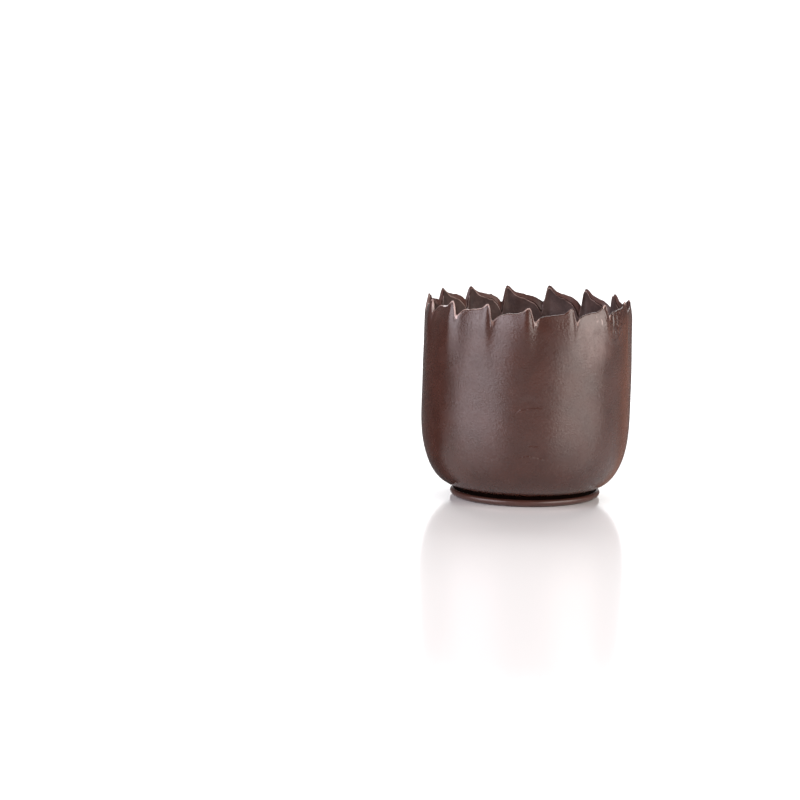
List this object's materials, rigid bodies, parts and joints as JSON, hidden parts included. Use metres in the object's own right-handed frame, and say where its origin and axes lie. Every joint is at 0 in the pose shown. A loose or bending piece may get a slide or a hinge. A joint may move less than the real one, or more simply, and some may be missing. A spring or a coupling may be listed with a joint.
{
  "type": "chocolate shell cup",
  "caption": "Thin-walled dark chocolate cup for filling: round, with a rounded bottom corner, ratchet-shaped pleats that run up into a toothed rim, and a flat foot disc set under it.",
  "frame": {"origin": "Middle of the foot disc's flat underside, where the cup stands on a table, on the shell's own axis.", "axes": "+Z is the shell's axis and points up out of the open rim. -Y is the front, where one pleat's crest faces within half a degree. +X is to the right seen from the front."},
  "size_m": [0.027, 0.027, 0.0263],
  "materials": {
    "dark_chocolate": "satin"
  },
  "bodies": {
    "root": {"cup_shell": "dark_chocolate"}
  },
  "joints": []
}
